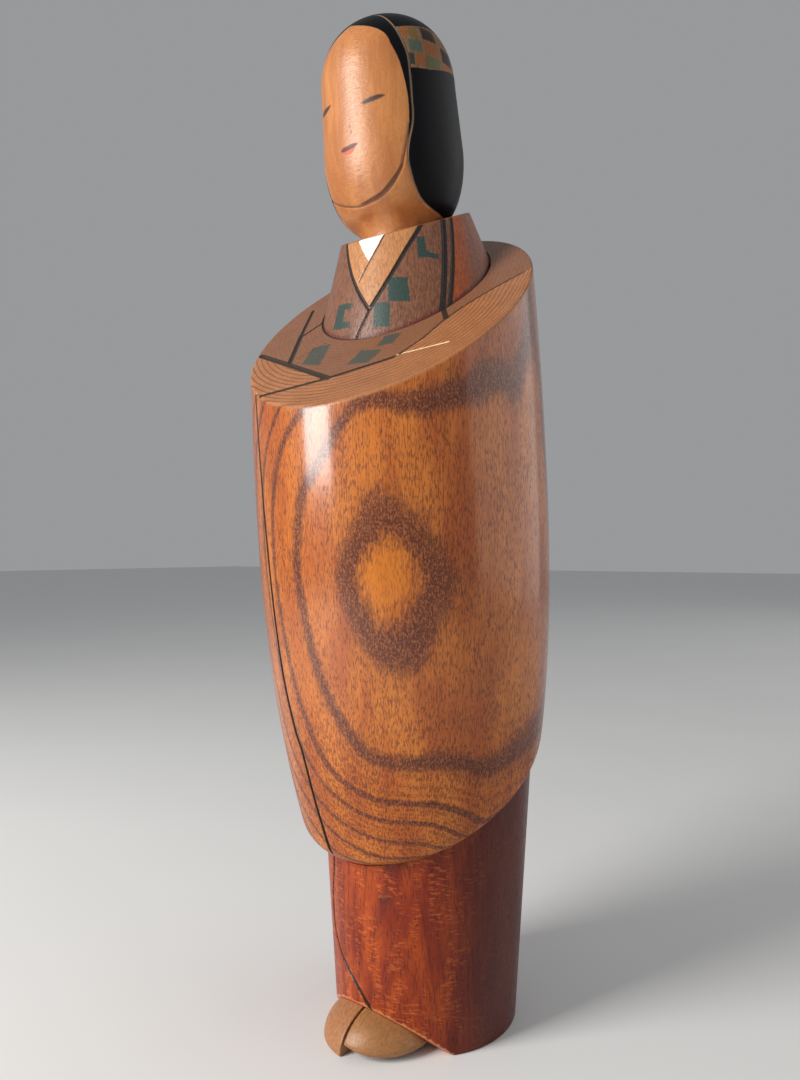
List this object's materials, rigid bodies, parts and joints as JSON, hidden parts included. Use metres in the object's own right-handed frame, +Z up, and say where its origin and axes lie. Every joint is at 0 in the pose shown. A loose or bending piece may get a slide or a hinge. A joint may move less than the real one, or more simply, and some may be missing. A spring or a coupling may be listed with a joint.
{
  "type": "kokeshi doll",
  "caption": "Turned wooden doll in a wide mantle, with a separate collar, skirt, split feet and a head that turns in its neck socket.",
  "frame": {"origin": "centre of the skirt's round base, on the surface that the doll stands on", "axes": "+Z up, -Y to the front, the way the collar's V and the mantle's slope face, +X to the doll's left"},
  "size_m": [0.0994, 0.098, 0.3379],
  "materials": {
    "stained_wood": "red-brown stain under satin varnish",
    "pale_wood": "bare smooth light wood",
    "varnished_wood": "clear gloss varnish over open-pored figured wood",
    "painted_wood": "thin brown stain with painted checks, satin",
    "head_wood": "clear satin varnish, painted face and black hair"
  },
  "bodies": {
    "figure": {"skirt": "stained_wood", "right_foot": "pale_wood", "left_foot": "pale_wood", "mantle": "varnished_wood", "collar": "painted_wood"},
    "head": {"head": "head_wood"}
  },
  "joints": [
    {"name": "head_turn", "type": "hinge", "parent": "figure", "child": "head", "pos_m": [-0.0164, 0.0089, 0.267], "axis": [-0.0356, -0.1001, 0.9943], "continuous": true}
  ]
}
